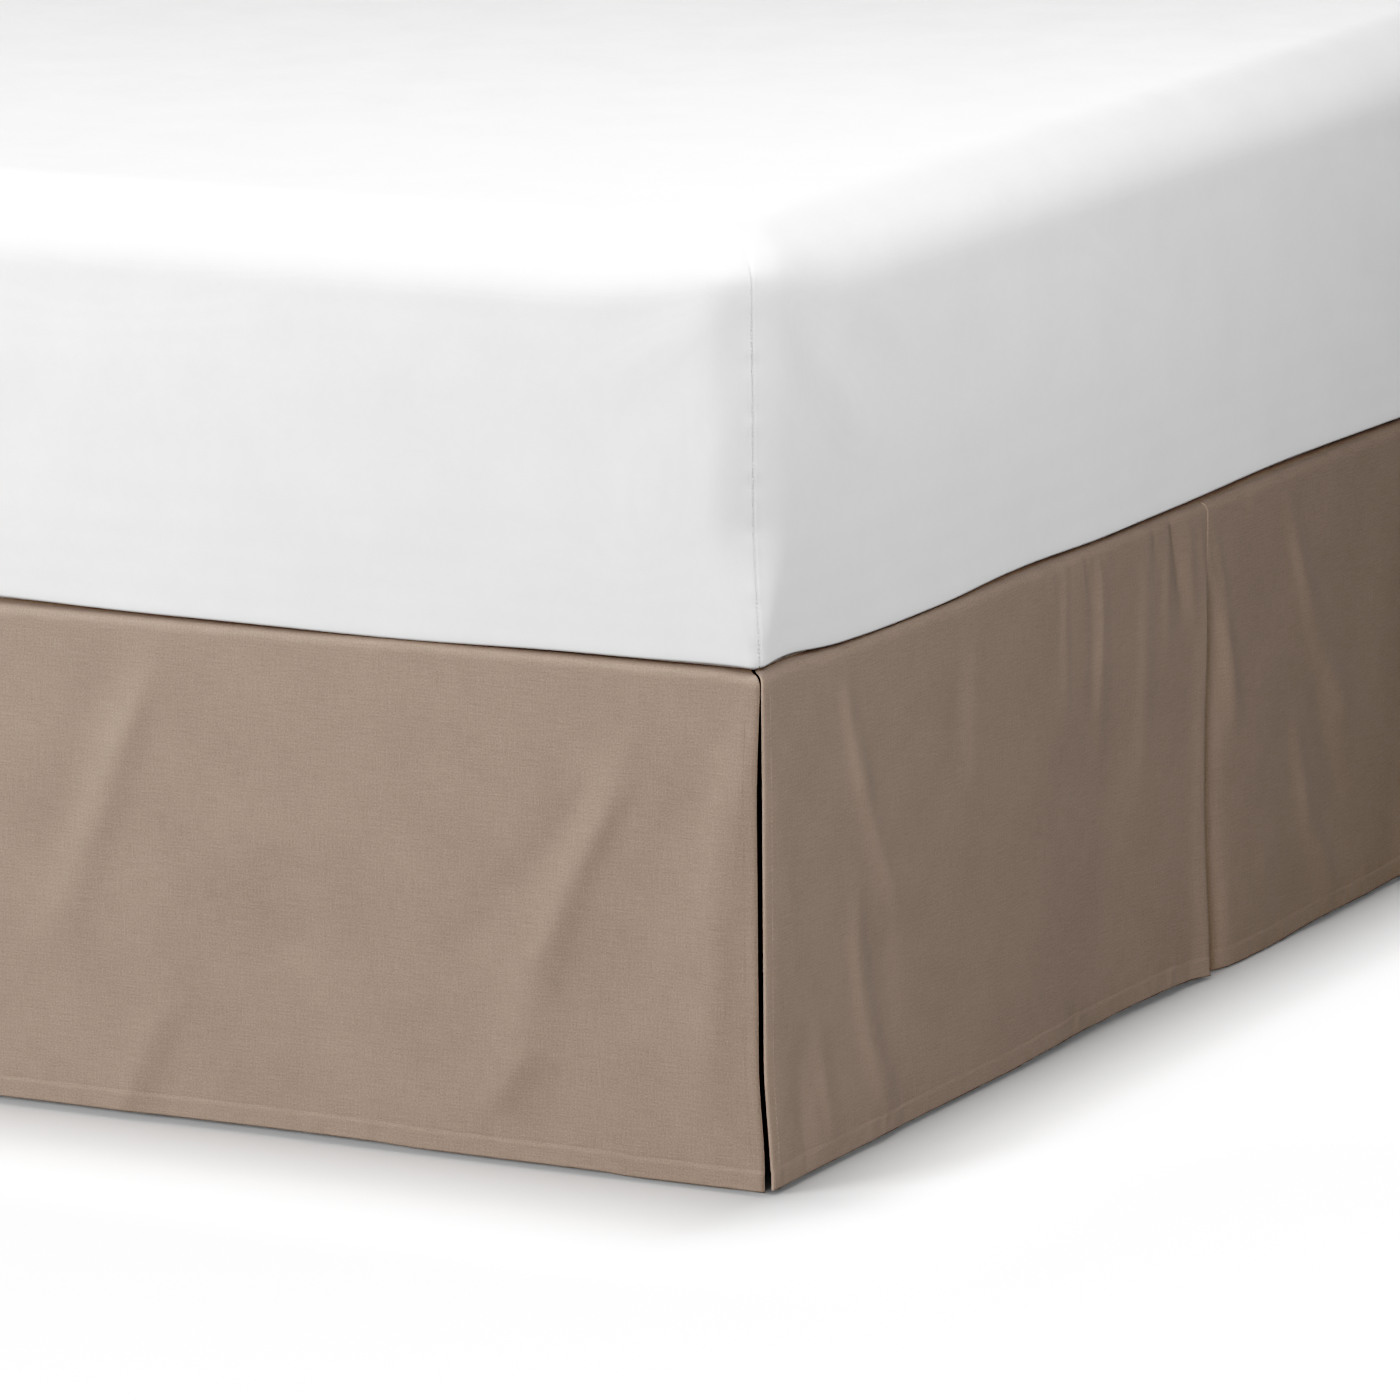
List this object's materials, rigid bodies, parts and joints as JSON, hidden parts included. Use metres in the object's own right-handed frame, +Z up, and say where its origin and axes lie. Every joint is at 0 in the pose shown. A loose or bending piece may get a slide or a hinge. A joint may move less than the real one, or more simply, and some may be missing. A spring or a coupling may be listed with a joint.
{
  "type": "bed skirt on a bed",
  "caption": "Tailored bed skirt with inverted pleats and split corners, hanging from under the mattress of a plain bed to just above the floor.",
  "frame": {"origin": "on the floor under the middle of the bed", "axes": "+X across the bed, +Y along the bed from its foot end to its head end, +Z up"},
  "size_m": [1.5329, 2.0396, 0.7009],
  "materials": {
    "skirt_cloth": "matt brushed plain weave in warm taupe",
    "deck_cloth": "matt plain weave in warm taupe",
    "mattress_cloth": "smooth matt off-white cover",
    "base_cloth": "plain woven cover, dark grey",
    "leg_wood": "dark satin stain"
  },
  "bodies": {
    "root": {"deck": "deck_cloth", "drop_foot": "skirt_cloth", "drop_left": "skirt_cloth", "drop_right": "skirt_cloth", "mattress": "mattress_cloth", "box_base": "base_cloth", "leg_1": "leg_wood", "leg_2": "leg_wood", "leg_3": "leg_wood", "leg_4": "leg_wood", "leg_5": "leg_wood", "leg_6": "leg_wood"}
  },
  "joints": []
}
